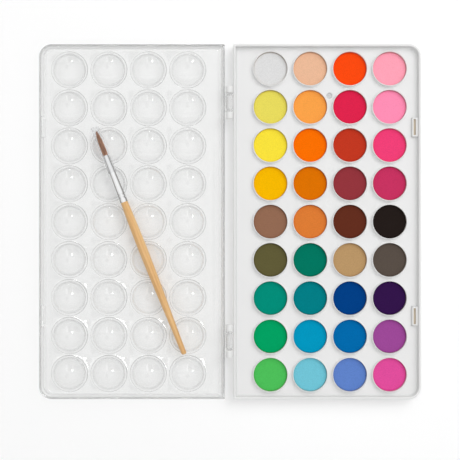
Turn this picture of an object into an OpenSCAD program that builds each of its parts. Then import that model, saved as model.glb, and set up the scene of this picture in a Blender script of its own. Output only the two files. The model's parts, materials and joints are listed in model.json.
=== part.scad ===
// Watercolor pan set: a hinged plastic case with round paint pans in the base,
// mixing wells in the clear lid and a loose brush lying in the lid.
// X runs from the lid to the base, Y along the hinge, Z up. The case lies open, hollows up.

/* [Case] */
// Length of both halves along the hinge
case_l = 240; // [236:1:248]
// Width over both halves when the case lies open
open_w = 258.2; // [256:0.2:266]
// Height of the base
base_h = 11; // [10.5:0.1:13]
// Height of the lid, wells included
lid_h = 9.5; // [9.2:0.1:12]
// Radius of the two outer corners of each half
corner_r = 8.5; // [5:0.5:12]
// Gap left between the two rims when the case is shut
seam_gap = 0.2; // [0.1:0.1:0.6]
// Wall thickness of the base
base_wall = 1.8; // [1.4:0.1:2]
// Floor thickness of the base
base_floor = 1.4; // [1:0.1:1.8]
// Wall thickness of the lid
lid_wall = 1.3; // [1:0.1:1.8]
// Thickness of the lid's panel and wells
lid_panel = 0.9; // [0.7:0.1:1.1]

/* [Hinges] */
// Hinge axis, off the middle of the open case
hinge_x = -0.5; // [-0.6:0.1:-0.4]
// Distance of each hinge from the middle of the case
hinge_y = 80.5; // [60:0.5:100]
// Radius of the knuckles and barrels
barrel_r = 2.4; // [2.2:0.1:2.5]
// Length of the lid's barrel
barrel_l = 12.2; // [9:0.1:16]
// Length of each knuckle on the base
knuckle_l = 4.7; // [4.5:0.1:7]
// Radius of the pin stubs moulded on the lid's barrel
pin_r = 1.2; // [1:0.05:1.3]
// Radial clearance of a stub in its bore
pin_play = 0.06; // [0.03:0.01:0.1]
// Length of each stub
pin_l = 3.5; // [3:0.1:4]

/* [Latches] */
// Distance of each latch from the middle of the case
latch_y = 64; // [50:1:72]
// Distance of the latch tongues from the middle of the open case
latch_x = 126; // [125.8:0.1:126.2]
// Width and length of a slot in the base
slot_w = 1.7; // [1.6:0.1:1.8]
slot_l = 10.8; // [9:0.1:12]
// Thickness and length of a tongue on the lid
tongue_t = 1.1; // [0.9:0.1:1.2]
tongue_l = 10; // [7:0.1:10.2]
// How far a tongue stands above the lid's rim
tongue_h = 3; // [2:0.1:3.5]

/* [Pans] */
// First column of pans, and the step from column to column
pan_x = 27.4; // [26.8:0.1:27.8]
pan_step_x = 26.9; // [26:0.1:27]
// Step from row to row
pan_step_y = 25.9; // [25:0.1:26]
// Radius of a cup's rim, of its body and of its hollow
cup_rim_r = 11.85; // [11.75:0.05:12.2]
cup_body_r = 11.55; // [11.4:0.05:11.65]
cup_hollow_r = 11.4; // [10.6:0.1:11.4]
// Height of a cup's rim above the tray
cup_rim_h = 2.8; // [2:0.1:2.8]
// Depth of the paint's surface below the cup's rim
paint_drop = 2.2; // [0.8:0.1:3]
// Depth of the tray below the base's rim
tray_drop = 4.4; // [4.4:0.1:5]

/* [Mixing wells] */
// First column of wells, measured from the middle of the open case
well_x = 28.9; // [28.4:0.1:29.6]
// Radius of a well at the panel, and of its dish
well_r = 12.3; // [11.8:0.1:12.6]
dish_r = 10.4; // [9.5:0.1:10.8]
// Depth of the sloping band, and of the dish below it
band_depth = 1.2; // [0.8:0.1:1.5]
dish_depth = 2.1; // [1.6:0.1:2.2]

/* [Brush] */
// Place of the brush's tip
brush_tip_x = -90.7; // [-94:0.1:-88]
brush_tip_y = 61.1; // [58:0.1:64]
// Angle between the brush and the hinge line
brush_turn = 21.6; // [18:0.1:25]
// Length of the hair, of the ferrule and of the whole brush
hair_l = 17.5; // [14:0.5:20]
ferrule_l = 34; // [30:1:38]
brush_l = 162.6; // [155:0.1:165]
// Radius of the ferrule at the hair and at the handle
ferrule_front_r = 1.75; // [1.6:0.05:1.8]
ferrule_back_r = 2.5; // [2.3:0.05:2.6]
// Largest radius of the handle
handle_r = 3.1; // [2.8:0.05:3.1]
// Outer radius and bore radius of the tip's sleeve
sleeve_r = 2.8; // [2.7:0.05:2.9]
sleeve_bore_r = 2.35; // [2.3:0.05:2.4]
// Length of the sleeve, and how far it reaches past the tip
sleeve_l = 33; // [28:1:36]
sleeve_past_tip = 3; // [1:0.5:4]

/* [Hidden] */
// Every paint, row by row from the far end of the case and out from the hinge
PAINTS = [
    ["paint_white", "whitesmoke"],
    ["paint_peach", "burlywood"],
    ["paint_vermilion", "orangered"],
    ["paint_light_pink", "lightpink"],
    ["paint_lemon", "khaki"],
    ["paint_light_orange", "sandybrown"],
    ["paint_crimson", "crimson"],
    ["paint_pink", "palevioletred"],
    ["paint_yellow", "gold"],
    ["paint_orange", "darkorange"],
    ["paint_brick_red", "firebrick"],
    ["paint_hot_pink", "deeppink"],
    ["paint_golden_yellow", "orange"],
    ["paint_ochre", "chocolate"],
    ["paint_maroon", "brown"],
    ["paint_raspberry", "mediumvioletred"],
    ["paint_taupe", "rosybrown"],
    ["paint_terracotta", "peru"],
    ["paint_dark_brown", "saddlebrown"],
    ["paint_black", "black"],
    ["paint_olive", "darkolivegreen"],
    ["paint_deep_green", "teal"],
    ["paint_tan", "tan"],
    ["paint_warm_grey", "dimgray"],
    ["paint_sea_green", "lightseagreen"],
    ["paint_teal", "darkcyan"],
    ["paint_navy", "navy"],
    ["paint_dark_purple", "indigo"],
    ["paint_green", "mediumseagreen"],
    ["paint_cyan_blue", "deepskyblue"],
    ["paint_blue", "steelblue"],
    ["paint_purple", "mediumorchid"],
    ["paint_light_green", "limegreen"],
    ["paint_light_cyan", "skyblue"],
    ["paint_periwinkle", "cornflowerblue"],
    ["paint_magenta", "hotpink"]
];
COLUMNS = 4;
ROWS = 9;
CUP_ROWS = [for (row = [1:ROWS]) str("pan_cups_row_", row)];

$fn = 64;
eps = 0.01;
half_w = open_w / 2;
base_edge_x = 2.3;
lid_edge_x = 3.4;
hinge_z = (base_h + lid_h + seam_gap) / 2;
web_top_drop = 0.3;
knuckle_gap = 0.3;
both_sides = [-1, 1];
bore_extra = 0.5;

tray_z = base_h - tray_drop;
tray_t = 1.2;
tray_skirt = 1;
tray_play = 0.1;
cup_play = 0.1;
cup_below_tray = 4;
cup_floor = 0.9;
paint_play = 0.05;
cup_top_z = tray_z + cup_rim_h;
cup_bottom_z = tray_z - cup_below_tray;
paint_top_z = cup_top_z - paint_drop;
surround_w = 4;
surround_l = 13;
slot_floor_z = base_floor;
// Where a tongue comes down when the lid has turned over the hinge
slot_x = latch_x + 2 * hinge_x;

// Moulding marks on the tray: [x, y, radius]
tray_marks = [[67.5, 85.6, 2.1], [67.5, 36.8, 2.5], [67.5, 12.7, 2.5]];
mark_depth = 0.3;

well_wall = lid_panel - 0.1;
panel_z = well_wall + dish_depth + band_depth;
dish_edge_z = panel_z - band_depth;
dish_ball_r = (dish_r * dish_r + dish_depth * dish_depth) / (2 * dish_depth);
tongue_root_l = 15.6;
tongue_root_chamfer = 1.8;
tongue_lead = 0.5;

brush_z = panel_z + handle_r + 0.05;
hair_straight_l = 5;
hair_root_l = 4;
hair_gap = 2;
tenon_l = 8;
tenon_gap = 1;
ferrule_wall = 0.3;
ferrule_back_wall = 0.5;
ferrule_play = 0.03;
handle_l = brush_l - hair_l - ferrule_l;
handle_end_r = 1.8;

// Outline of one half, from its hinge side at x0 to the outer side at half_w
module half_outline(x0, inset = 0) {
    flat_y = case_l / 2 - corner_r;
    side_y = case_l / 2 - inset;
    translate([x0 + inset, -side_y]) square([half_w - corner_r - x0 - inset, 2 * side_y]);
    translate([x0 + inset, -flat_y]) square([half_w - x0 - 2 * inset, 2 * flat_y]);
    for (side = both_sides)
        translate([half_w - corner_r, side * flat_y]) circle(r = corner_r - inset);
}

// Puts a copy of its child at each pan or well: x0 is the first column
module on_grid(x0, columns = [0:COLUMNS - 1], rows = [0:ROWS - 1]) {
    for (row = rows, column = columns)
        translate([x0 + column * pan_step_x, ((ROWS - 1) / 2 - row) * pan_step_y, 0]) children();
}

// A cylinder along Y that starts at y0
module along_y(r, y0, l) {
    translate([0, y0 + l, 0]) rotate([90, 0, 0]) cylinder(r = r, h = l);
}

// One knuckle of the base with its web to the wall, seen from the hinge's middle
module knuckle() {
    y0 = barrel_l / 2 + knuckle_gap;
    translate([hinge_x, 0, hinge_z]) along_y(barrel_r, y0, knuckle_l);
    translate([hinge_x, y0, hinge_z - barrel_r])
        cube([base_edge_x - hinge_x + base_wall / 2, knuckle_l, barrel_r - web_top_drop]);
}

module knuckle_bore() {
    y0 = barrel_l / 2 - eps;
    translate([hinge_x, 0, hinge_z]) along_y(pin_r + pin_play, y0, pin_l + bore_extra);
}

module latch_surround() {
    outer_x = half_w - base_wall / 2;
    translate([half_w - base_wall - surround_w, -surround_l / 2, 0])
        cube([outer_x - (half_w - base_wall - surround_w), surround_l, base_h]);
}

module base_shell() {
    color("white") difference() {
        union() {
            difference() {
                linear_extrude(base_h) half_outline(base_edge_x);
                translate([0, 0, base_floor]) linear_extrude(base_h) half_outline(base_edge_x, base_wall);
            }
            for (side = both_sides) {
                translate([0, side * latch_y, 0]) latch_surround();
                translate([0, side * hinge_y, 0]) knuckle();
                translate([0, side * hinge_y, 0]) mirror([0, 1, 0]) knuckle();
            }
        }
        for (side = both_sides) {
            translate([0, side * hinge_y, 0]) knuckle_bore();
            translate([0, side * hinge_y, 0]) mirror([0, 1, 0]) knuckle_bore();
            translate([slot_x - slot_w / 2, side * latch_y - slot_l / 2, slot_floor_z])
                cube([slot_w, slot_l, base_h]);
        }
    }
}

module tray_outline(inset) {
    notch_w = surround_w + tray_play;
    difference() {
        half_outline(base_edge_x, base_wall + tray_play + inset);
        for (side = both_sides)
            translate([half_w - base_wall - notch_w - inset, side * latch_y - surround_l / 2 - tray_play - inset])
                square([notch_w + inset + eps, surround_l + 2 * tray_play + 2 * inset]);
    }
}

module pan_tray() {
    color("white") difference() {
        translate([0, 0, base_floor]) linear_extrude(tray_z - base_floor) tray_outline(0);
        translate([0, 0, base_floor - eps])
            linear_extrude(tray_z - tray_t - base_floor + eps) tray_outline(tray_skirt);
        on_grid(pan_x) cylinder(r = cup_body_r + cup_play, h = base_h);
        for (mark = tray_marks)
            translate([mark[0], mark[1], tray_z - mark_depth]) cylinder(r = mark[2], h = tray_t);
    }
}

module pan_cup() {
    color("white") difference() {
        union() {
            translate([0, 0, cup_bottom_z]) cylinder(r = cup_body_r, h = cup_below_tray + eps);
            translate([0, 0, tray_z]) cylinder(r = cup_rim_r, h = cup_rim_h);
        }
        translate([0, 0, cup_bottom_z + cup_floor]) cylinder(r = cup_hollow_r, h = base_h);
    }
}

module pan_cups_row(row) {
    on_grid(pan_x, rows = [row]) pan_cup();
}

module paint_cake(index) {
    cake_z = cup_bottom_z + cup_floor;
    color(PAINTS[index][1])
        on_grid(pan_x, columns = [index % COLUMNS], rows = [floor(index / COLUMNS)])
            translate([0, 0, cake_z]) cylinder(r = cup_hollow_r - paint_play, h = paint_top_z - cake_z);
}

// Solid of one well, grown by wall: the hollow with 0, the outside with the panel's thickness
module well_form(wall) {
    ball_z = dish_edge_z - dish_depth + dish_ball_r;
    translate([0, 0, dish_edge_z]) cylinder(r1 = dish_r + wall, r2 = well_r + wall, h = band_depth);
    intersection() {
        translate([0, 0, ball_z]) sphere(r = dish_ball_r + wall, $fn = 128);
        cylinder(r = dish_r + wall, h = dish_edge_z + eps);
    }
}

// One snap tongue with its thicker root on the lid's outer wall
module tongue() {
    outer_x = -latch_x - tongue_t / 2;
    root_h = lid_h - panel_z;
    lead_z = lid_h + tongue_h - tongue_lead;
    translate([outer_x, -tongue_l / 2, panel_z]) cube([tongue_t, tongue_l, root_h + tongue_h - tongue_lead]);
    translate([outer_x + tongue_lead / 2, -tongue_l / 2 + tongue_lead, lead_z - eps])
        cube([tongue_t - tongue_lead, tongue_l - 2 * tongue_lead, tongue_lead + eps]);
    wall_x = -half_w + lid_wall / 2;
    inner_x = outer_x + tongue_t;
    end_y = tongue_root_l / 2;
    translate([0, 0, panel_z - eps]) linear_extrude(root_h + eps)
        polygon([
            [wall_x, -end_y],
            [wall_x, end_y],
            [inner_x, end_y - tongue_root_chamfer],
            [inner_x, -end_y + tongue_root_chamfer]
        ]);
}

// The lid's middle barrel, its web to the wall and its two pin stubs
module lid_barrel() {
    translate([hinge_x, 0, hinge_z]) {
        along_y(barrel_r, -barrel_l / 2, barrel_l);
        along_y(pin_r, -barrel_l / 2 - pin_l, barrel_l + 2 * pin_l);
    }
    translate([-lid_edge_x - lid_wall / 2, -barrel_l / 2, hinge_z - barrel_r])
        cube([lid_edge_x + hinge_x + lid_wall / 2, barrel_l, lid_h - hinge_z + barrel_r]);
}

module lid_shell() {
    color([0.85, 0.88, 0.9, 0.5]) difference() {
        union() {
            mirror([1, 0, 0]) difference() {
                translate([0, 0, panel_z - lid_panel]) linear_extrude(lid_h - panel_z + lid_panel)
                    half_outline(lid_edge_x);
                translate([0, 0, panel_z]) linear_extrude(lid_h) half_outline(lid_edge_x, lid_wall);
            }
            mirror([1, 0, 0]) on_grid(well_x) well_form(well_wall);
            for (side = both_sides) {
                translate([0, side * latch_y, 0]) tongue();
                translate([0, side * hinge_y, 0]) lid_barrel();
            }
        }
        mirror([1, 0, 0]) on_grid(well_x) well_form(0);
    }
}

// Lays a brush piece, modelled upward from the tip, in its place in the lid
module on_brush() {
    translate([brush_tip_x, brush_tip_y, brush_z]) rotate([0, 0, brush_turn]) rotate([90, 0, 0]) children();
}

module brush_hair() {
    belly_s = hair_l - hair_straight_l;
    belly_r = ferrule_front_r - 0.05;
    root_r = ferrule_front_r - ferrule_wall - ferrule_play;
    color("saddlebrown") on_brush() rotate_extrude() polygon(concat(
        [[0, 0]],
        [for (t = [0.1:0.1:1]) [belly_r * pow(sin(90 * t), 0.8), belly_s * t]],
        [[root_r, hair_l], [root_r, hair_l + hair_root_l], [0, hair_l + hair_root_l]]
    ));
}

module brush_ferrule() {
    root_r = ferrule_front_r - ferrule_wall;
    back_bore_r = ferrule_back_r - ferrule_back_wall;
    back_s = hair_l + ferrule_l;
    tenon_s = back_s - tenon_l - tenon_gap;
    bore_taper_s = hair_l + hair_root_l + hair_gap;
    color("silver") on_brush() difference() {
        translate([0, 0, hair_l]) cylinder(r1 = ferrule_front_r, r2 = ferrule_back_r, h = ferrule_l);
        translate([0, 0, hair_l - eps]) cylinder(r = root_r, h = hair_root_l + hair_gap + 2 * eps);
        translate([0, 0, bore_taper_s]) cylinder(r1 = root_r, r2 = back_bore_r, h = tenon_s - bore_taper_s + eps);
        translate([0, 0, tenon_s]) cylinder(r = back_bore_r, h = back_s - tenon_s + eps);
    }
}

// Radius of the handle at t, from 0 at the ferrule to 1 at the end
function handle_radius(t) = t < 0.3
    ? ferrule_back_r + (handle_r - ferrule_back_r) * sin(300 * t)
    : handle_end_r + (handle_r - handle_end_r) * (1 + cos(180 * (t - 0.3) / 0.78)) / 2;

module brush_handle() {
    tenon_r = ferrule_back_r - ferrule_back_wall - ferrule_play;
    start_s = hair_l + ferrule_l;
    nose_l = 1.6;
    shaft_l = handle_l - nose_l;
    color("burlywood") on_brush() rotate_extrude() polygon(concat(
        [[0, start_s - tenon_l], [tenon_r, start_s - tenon_l], [tenon_r, start_s]],
        [for (t = [0:0.05:1]) [handle_radius(t), start_s + shaft_l * t]],
        [for (a = [22.5:22.5:67.5]) [handle_end_r * cos(a), start_s + shaft_l + nose_l * sin(a)]],
        [[0, brush_l]]
    ));
}

module brush_tip_sleeve() {
    color([0.9, 0.93, 0.95, 0.4]) on_brush() translate([0, 0, -sleeve_past_tip]) difference() {
        cylinder(r = sleeve_r, h = sleeve_l);
        translate([0, 0, -eps]) cylinder(r = sleeve_bore_r, h = sleeve_l + 2 * eps);
    }
}

base_shell();
pan_tray();
for (row = [0:ROWS - 1])
    pan_cups_row(row);
for (index = [0:len(PAINTS) - 1])
    paint_cake(index);
lid_shell();
brush_hair();
brush_ferrule();
brush_handle();
brush_tip_sleeve();
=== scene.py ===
import json
import math
import random

import bmesh
import bpy
from mathutils import Matrix, Vector, geometry, noise


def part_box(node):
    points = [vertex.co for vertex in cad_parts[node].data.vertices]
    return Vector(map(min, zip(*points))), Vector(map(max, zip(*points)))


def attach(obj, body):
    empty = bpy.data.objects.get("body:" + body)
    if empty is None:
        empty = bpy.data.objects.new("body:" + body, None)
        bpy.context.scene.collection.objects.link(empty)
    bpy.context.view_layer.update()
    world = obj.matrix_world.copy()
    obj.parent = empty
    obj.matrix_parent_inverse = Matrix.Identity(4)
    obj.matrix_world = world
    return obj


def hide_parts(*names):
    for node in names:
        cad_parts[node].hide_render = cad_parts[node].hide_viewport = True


# Looks of the watercolor pan set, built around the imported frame. Lengths in millimetres carry
# the factor MM; everything in Blender is in metres, X from lid to base, Y along the hinge, Z up.

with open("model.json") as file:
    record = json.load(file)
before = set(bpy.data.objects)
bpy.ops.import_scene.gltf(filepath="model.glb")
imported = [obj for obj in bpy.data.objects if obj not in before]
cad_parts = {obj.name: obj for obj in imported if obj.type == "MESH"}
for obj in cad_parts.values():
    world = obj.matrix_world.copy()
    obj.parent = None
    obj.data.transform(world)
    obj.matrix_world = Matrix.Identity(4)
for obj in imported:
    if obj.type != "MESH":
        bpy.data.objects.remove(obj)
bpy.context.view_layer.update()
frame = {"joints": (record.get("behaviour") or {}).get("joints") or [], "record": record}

MM = 0.001
COLUMNS = 4
ROWS = 9
SKY_LEVEL = 0.795
KEY_WATTS = 8
RECORD = frame["record"]
JOINTS = {joint["name"]: joint for joint in frame["joints"]}
PAINT_NODES = [row["node"] for row in RECORD["subparts"] if row["node"].startswith("paint_")]
SLOT_COLOURS = {row["slot"]: row["base_color"] for row in RECORD["materials"]}


# ---------------------------------------------------------------- places taken from the frame
def middle(node):
    low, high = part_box(node)
    return (low + high) / 2


BASE_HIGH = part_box("base_shell")[1]
LID_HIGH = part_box("lid_shell")[1]
CUP_LOW, CUP_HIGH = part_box("pan_cups_row_1")
PAINT_LOW, PAINT_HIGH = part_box(PAINT_NODES[0])
PAN_CENTRES = [middle(node) for node in PAINT_NODES]
PAN_STEP_X = PAN_CENTRES[1].x - PAN_CENTRES[0].x
PAN_STEP_Y = PAN_CENTRES[0].y - PAN_CENTRES[COLUMNS].y
HINGE = Vector(JOINTS["lid_hinge"]["pos_m"])
BRUSH_AXIS = Vector(JOINTS["brush_slide"]["axis"]).normalized()

CASE_HALF_Y = BASE_HIGH.y
CASE_FAR_X = BASE_HIGH.x
CORNER_R = 8.5 * MM
TRAY_INSET = 1.75 * MM
BASE_NEAR_X = 2.3 * MM
BASE_TOP = 11.0 * MM
LID_NEAR_X = 3.4 * MM
LID_TOP = 9.5 * MM
PANEL_Z = 4.1 * MM
WELL_WALL = 0.8 * MM
WELL_FIRST_X = 28.9 * MM
WELL_SEGMENTS = 72
TRAY_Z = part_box("pan_tray")[1].z
CUP_TOP = CUP_HIGH.z
CUP_R = 11.85 * MM
CUP_BODY_R = 11.55 * MM
CUP_HOLLOW_R = 11.4 * MM
CAKE_TOP = PAINT_HIGH.z
LATCH_Y = 64.0 * MM
COLLAR_NEAR_X = CASE_FAR_X - 5.8 * MM
COLLAR_HALF_Y = 6.5 * MM
TONGUE_X = -126.0 * MM
SLOT_X = 2 * HINGE.x - TONGUE_X
SLOT_HALF_X = 0.74 * MM
SLOT_HALF_Y = 5.4 * MM
# A raised floor in the slot, painted tan as painted shade of the deep, narrow slot.
SLOT_FLOOR_Z = 7.3 * MM
HINGE_Y = 80.5 * MM
BARREL_R = 2.4 * MM
BARREL_SOFT = 0.3 * MM


# ---------------------------------------------------------------- mesh helpers
def in_scene(obj):
    bpy.context.scene.collection.objects.link(obj)
    return obj


def smooth_below(bm, sharp_deg):
    """Smooth shading except along edges where the surface turns by more than sharp_deg."""
    limit = math.radians(sharp_deg)
    for face in bm.faces:
        face.smooth = True
    for edge in bm.edges:
        if len(edge.link_faces) == 2:
            edge.smooth = edge.calc_face_angle(0.0) < limit


def object_from(bm, name):
    """Turns a filled bmesh into an object in the scene."""
    mesh = bpy.data.meshes.new(name)
    bm.to_mesh(mesh)
    bm.free()
    return in_scene(bpy.data.objects.new(name, mesh))


def new_object(name, mesh_maker, material, *details, sharp_deg=32.0):
    """An object from a function that fills a bmesh, smooth except along edges above sharp_deg."""
    bm = bmesh.new()
    mesh_maker(bm, *details)
    bmesh.ops.remove_doubles(bm, verts=bm.verts, dist=0.002 * MM)
    bmesh.ops.recalc_face_normals(bm, faces=bm.faces)
    smooth_below(bm, sharp_deg)
    obj = object_from(bm, name)
    obj.data.materials.append(material)
    return obj


def mark_points(obj, test):
    """A point attribute that is 1 where test(point) holds and 0 elsewhere."""
    attribute = obj.data.attributes.new("inside", "FLOAT", "POINT")
    for vertex in obj.data.vertices:
        attribute.data[vertex.index].value = 1.0 if test(vertex.co) else 0.0


def boolean(obj, operation, mesh_maker, side):
    """Joins on or cuts away the solid that mesh_maker makes for one side of the case."""
    bm = bmesh.new()
    mesh_maker(bm, side)
    bmesh.ops.recalc_face_normals(bm, faces=bm.faces)
    tool = object_from(bm, "tool")
    modifier = obj.modifiers.new("cut", "BOOLEAN")
    modifier.operation = operation
    modifier.solver = "EXACT"
    modifier.object = tool
    deps = bpy.context.evaluated_depsgraph_get()
    deps.update()
    mesh = bpy.data.meshes.new_from_object(obj.evaluated_get(deps))
    obj.modifiers.clear()
    old = obj.data
    obj.data = mesh
    mesh.name = obj.name
    bpy.data.meshes.remove(old)
    bpy.data.objects.remove(tool)


def smooth_by_angle(obj, sharp_deg):
    bm = bmesh.new()
    bm.from_mesh(obj.data)
    smooth_below(bm, sharp_deg)
    bm.to_mesh(obj.data)
    bm.free()


def add_ring(bm, points):
    return [bm.verts.new(p) for p in points]


def bridge(bm, ring_a, ring_b):
    """Quads between two closed rings of the same length."""
    count = len(ring_a)
    for i in range(count):
        j = (i + 1) % count
        bm.faces.new((ring_a[i], ring_a[j], ring_b[j], ring_b[i]))


def fan(bm, tip, ring):
    """Triangles from one vertex to a closed ring."""
    for a, b in zip(ring, ring[1:] + ring[:1]):
        bm.faces.new((tip, a, b))


def loft(bm, rings):
    """Skins a list of closed rings of points, and returns the first and last rings' vertices."""
    made = [add_ring(bm, ring) for ring in rings]
    for a, b in zip(made, made[1:]):
        bridge(bm, a, b)
    return made[0], made[-1]


def fill_flat(bm, outer, holes=()):
    """Level triangles inside the closed ring outer and outside each convex ring in holes."""
    verts, edges, owners = [], [], []
    for index, loop in enumerate((outer, *holes)):
        first = len(verts)
        count = len(loop)
        verts.extend(loop)
        owners.extend([index] * count)
        edges.extend((first + i, first + (i + 1) % count) for i in range(count))
    flat = [(v.co / MM).xy for v in verts]
    _, _, triangles, origins, _, _ = geometry.delaunay_2d_cdt(flat, edges, [], 1, 1e-6)
    for triangle in triangles:
        corners = [origins[i][0] for i in triangle]
        inside = {owners[i] for i in corners}
        if len(inside) > 1 or inside == {0}:
            bm.faces.new([verts[i] for i in corners])


def circle(cx, cy, z, r, segments):
    turn = 2 * math.pi / segments
    return [
        Vector((cx + r * math.cos(turn * k), cy + r * math.sin(turn * k), z))
        for k in range(segments)
    ]


def arc_points(cx, cy, r, start_deg, end_deg, steps, rise=None):
    """Points of an arc; with rise, an oval arc that reaches r sideways and rise upwards."""
    rise = r if rise is None else rise
    angles = [math.radians(start_deg + (end_deg - start_deg) * k / steps) for k in range(steps + 1)]
    return [(cx + r * math.cos(a), cy + rise * math.sin(a)) for a in angles]


def rounded_outline(corners, z, steps):
    """A closed level outline from its corners, each an (x, y, radius, first angle) row."""
    return [
        Vector((x, y, z))
        for cx, cy, r, start in corners
        for x, y in arc_points(cx, cy, r, start, start + 90, steps)
    ]


def rounded_rectangle(low_x, low_y, high_x, high_y, r, z, steps):
    corners = [
        (high_x - r, low_y + r, r, -90),
        (high_x - r, high_y - r, r, 0),
        (low_x + r, high_y - r, r, 90),
        (low_x + r, low_y + r, r, 180),
    ]
    return rounded_outline(corners, z, steps)


def case_ring(near_x, inset, z, mirror, near_inset=None, far_inset=None):
    """A ring of a half case's outline, pulled in by inset; the hinge and front sides can differ."""
    near_inset = inset if near_inset is None else near_inset
    far_inset = inset if far_inset is None else far_inset
    far_x = CASE_FAR_X - far_inset
    low_x = near_x + near_inset
    half_y = CASE_HALF_Y - inset
    near_r = 0.8 * MM
    far_r = max(CORNER_R - inset, 1.5 * MM)
    small_r = near_r - inset if inset < near_r - 0.1 * MM else 0.7 * MM
    corners = [
        (far_x - far_r, -half_y + far_r, far_r, -90),
        (far_x - far_r, half_y - far_r, far_r, 0),
        (low_x + small_r, half_y - small_r, small_r, 90),
        (low_x + small_r, -half_y + small_r, small_r, 180),
    ]
    points = rounded_outline(corners, z, 12)
    return [Vector((-p.x, p.y, p.z)) for p in points[::-1]] if mirror else points


def case_loft(bm, near_x, profile, mirror):
    """Skins rings from (inset, height) rows, with hinge and front insets where they differ."""
    return loft(bm, [case_ring(near_x, row[0], row[1], mirror, *row[2:]) for row in profile])


def revolve(bm, profile, segments, place):
    """Turns (radius, height) points about Z, closed at radius 0, and moves them with place."""
    rings = []
    for r, z in profile:
        points = circle(0, 0, z, r, segments) if r > 1e-7 else [Vector((0, 0, z))]
        rings.append(add_ring(bm, [place(p) for p in points]))
    for a, b in zip(rings, rings[1:]):
        if len(a) == 1 and len(b) > 1:
            fan(bm, a[0], b[::-1])
        elif len(b) == 1 and len(a) > 1:
            fan(bm, b[0], a)
        elif len(a) > 1:
            bridge(bm, a, b)


def rounded_box(bm, low, high, r):
    """A box with all its edges rounded, as a loft of rounded rectangles along Z."""
    steps = 3
    side = arc_points(0, 0, 1, -90, 0, steps)
    levels = [(low.z + r + r * s, r - r * c) for c, s in side]
    levels += [(high.z - r - r * s, r - r * c) for c, s in side[::-1]]
    rings = []
    for z, inset in levels:
        corner = max(r - inset, 0.3 * r)
        edges = (low.x + inset, low.y + inset, high.x - inset, high.y - inset)
        rings.append(rounded_rectangle(*edges, corner, z, steps))
    first, last = loft(bm, rings)
    bm.faces.new(first[::-1])
    bm.faces.new(last)


# ---------------------------------------------------------------- materials
def material(name):
    mat = bpy.data.materials.new(name)
    mat.use_nodes = True
    tree = mat.node_tree
    return mat, tree, tree.nodes["Principled BSDF"]


def feed(tree, node, inputs):
    """Fills a node's inputs by name or number: an output is linked, a plain value is written."""
    for key, value in inputs.items():
        if isinstance(value, bpy.types.NodeSocket):
            tree.links.new(value, node.inputs[key])
        else:
            node.inputs[key].default_value = value


def add(tree, kind, inputs=None, **settings):
    node = tree.nodes.new(kind)
    for key, value in settings.items():
        setattr(node, key, value)
    feed(tree, node, inputs or {})
    return node


def object_coordinates(tree, rotation=(0, 0, 0)):
    vector = add(tree, "ShaderNodeTexCoord").outputs["Object"]
    return add(tree, "ShaderNodeMapping", {"Vector": vector, "Rotation": rotation}).outputs["Vector"]


def split_coordinates(tree, space):
    """The X, Y and Z outputs of one kind of texture coordinate."""
    vector = add(tree, "ShaderNodeTexCoord").outputs[space]
    return add(tree, "ShaderNodeSeparateXYZ", {"Vector": vector}).outputs


def noise_texture(tree, vector, scale, detail, roughness=0.55):
    inputs = {"Vector": vector, "Scale": scale, "Detail": detail, "Roughness": roughness}
    return add(tree, "ShaderNodeTexNoise", inputs).outputs["Fac"]


def ramp(tree, factor, stops):
    node = add(tree, "ShaderNodeValToRGB", {"Fac": factor})
    elements = node.color_ramp.elements
    while len(elements) < len(stops):
        elements.new(0.5)
    for element, (position, colour) in zip(elements, stops):
        element.position = position
        element.color = (*colour, 1)
    return node.outputs["Color"]


def map_range(tree, value, low, high, to_low, to_high):
    inputs = {"Value": value, "From Min": low, "From Max": high, "To Min": to_low, "To Max": to_high}
    return add(tree, "ShaderNodeMapRange", inputs).outputs["Result"]


def spread(tree, value, low, high):
    """A noise value, which is mostly between 0.3 and 0.7, spread from low to high."""
    return map_range(tree, value, 0.3, 0.7, low, high)


def node_math(tree, operation, *values):
    return add(tree, "ShaderNodeMath", dict(enumerate(values)), operation=operation).outputs["Value"]


def mixed(tree, factor, a, b, blend="MIX"):
    inputs = {"Factor": factor, "A": a, "B": b}
    return add(tree, "ShaderNodeMix", inputs, data_type="RGBA", blend_type=blend).outputs["Result"]


def multiplied(tree, a, b):
    return mixed(tree, 1.0, a, b, "MULTIPLY")


def marked(tree):
    """1 at the points that mark_points marked."""
    return add(tree, "ShaderNodeAttribute", attribute_name="inside").outputs["Fac"]


def bump(tree, shader, height, distance, strength, previous=None):
    node = add(tree, "ShaderNodeBump", {"Height": height, "Distance": distance, "Strength": strength})
    if previous is not None:
        tree.links.new(previous, node.inputs["Normal"])
    tree.links.new(node.outputs["Normal"], shader.inputs["Normal"])
    return node.outputs["Normal"]


def linear(value):
    """One sRGB channel from 0 to 1 as a linear value."""
    return value / 12.92 if value <= 0.04045 else ((value + 0.055) / 1.055) ** 2.4


def linear_colour(colour):
    return tuple(linear(c) for c in colour[:3])


def shade(colour, factor):
    return tuple(min(max(c * factor, 0.0), 1.0) for c in colour)


def plastic_material(name, colour, roughness, grain_size, grain_depth, painted_shade):
    """Opaque moulded plastic with a fine mould texture, and painted shade in place of its colour where its
    points are marked, standing in for the shade in deep recesses.
    """
    mat, tree, shader = material(name)
    vector = object_coordinates(tree)
    flow = noise_texture(tree, vector, scale=28, detail=2)
    grain = noise_texture(tree, vector, scale=1 / grain_size, detail=2)
    tint = ramp(tree, flow, [(0.3, shade(colour, 0.985)), (0.7, colour)])
    feed(tree, shader, {
        # Painted shade: marked points take the given shade colour, standing in for the shade deep in a
        # recess.
        "Base Color": mixed(tree, marked(tree), tint, (*painted_shade, 1)),
        "Roughness": spread(tree, grain, roughness - 0.05, roughness + 0.05),
        "IOR": 1.55,
    })
    bump(tree, shader, grain, grain_depth, strength=0.6)
    return mat


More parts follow.
